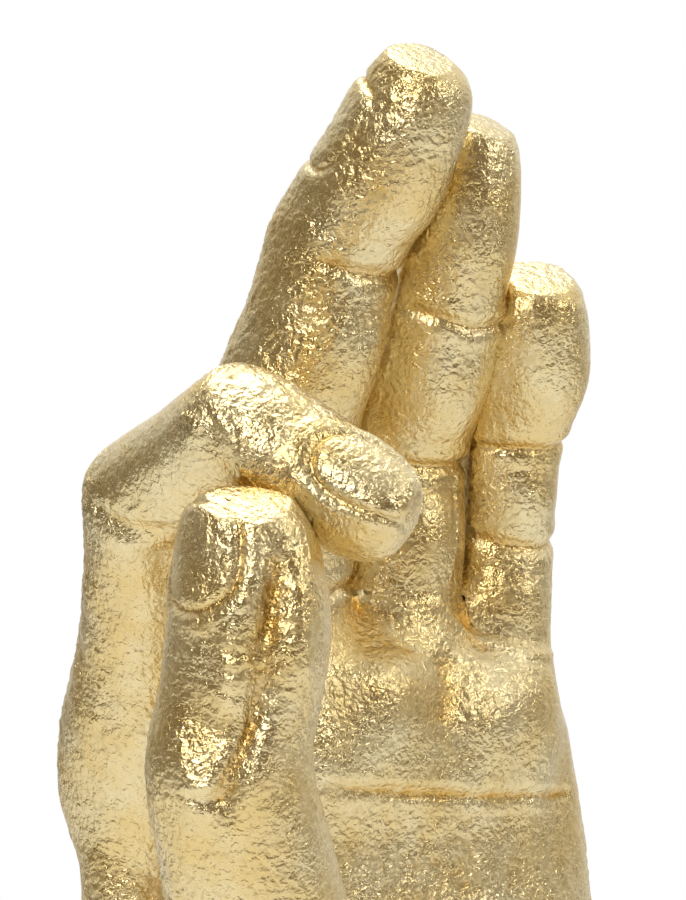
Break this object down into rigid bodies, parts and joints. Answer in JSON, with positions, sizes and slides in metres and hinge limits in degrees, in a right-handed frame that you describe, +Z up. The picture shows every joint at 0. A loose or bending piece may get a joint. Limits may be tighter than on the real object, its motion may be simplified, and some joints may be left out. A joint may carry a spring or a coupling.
{
  "type": "ceramic hand sculpture",
  "caption": "Life-size upright left hand in gold-leafed ceramic, thumb and index finger meeting in a ring, on a felted flat foot.",
  "frame": {"origin": "middle of the oval foot, on the underside of the felt pad", "axes": "+Z up along the forearm towards the fingertips, -Y the way the palm faces, -X the thumb side"},
  "size_m": [0.1054, 0.087, 0.2603],
  "materials": {
    "gilt_ceramic": "crinkled gold leaf over rough fired clay",
    "felt": "pressed wool felt"
  },
  "bodies": {
    "root": {"palm_and_wrist": "gilt_ceramic", "thumb": "gilt_ceramic", "index_finger": "gilt_ceramic", "middle_finger": "gilt_ceramic", "ring_finger": "gilt_ceramic", "little_finger": "gilt_ceramic", "felt_base_pad": "felt"}
  },
  "joints": []
}
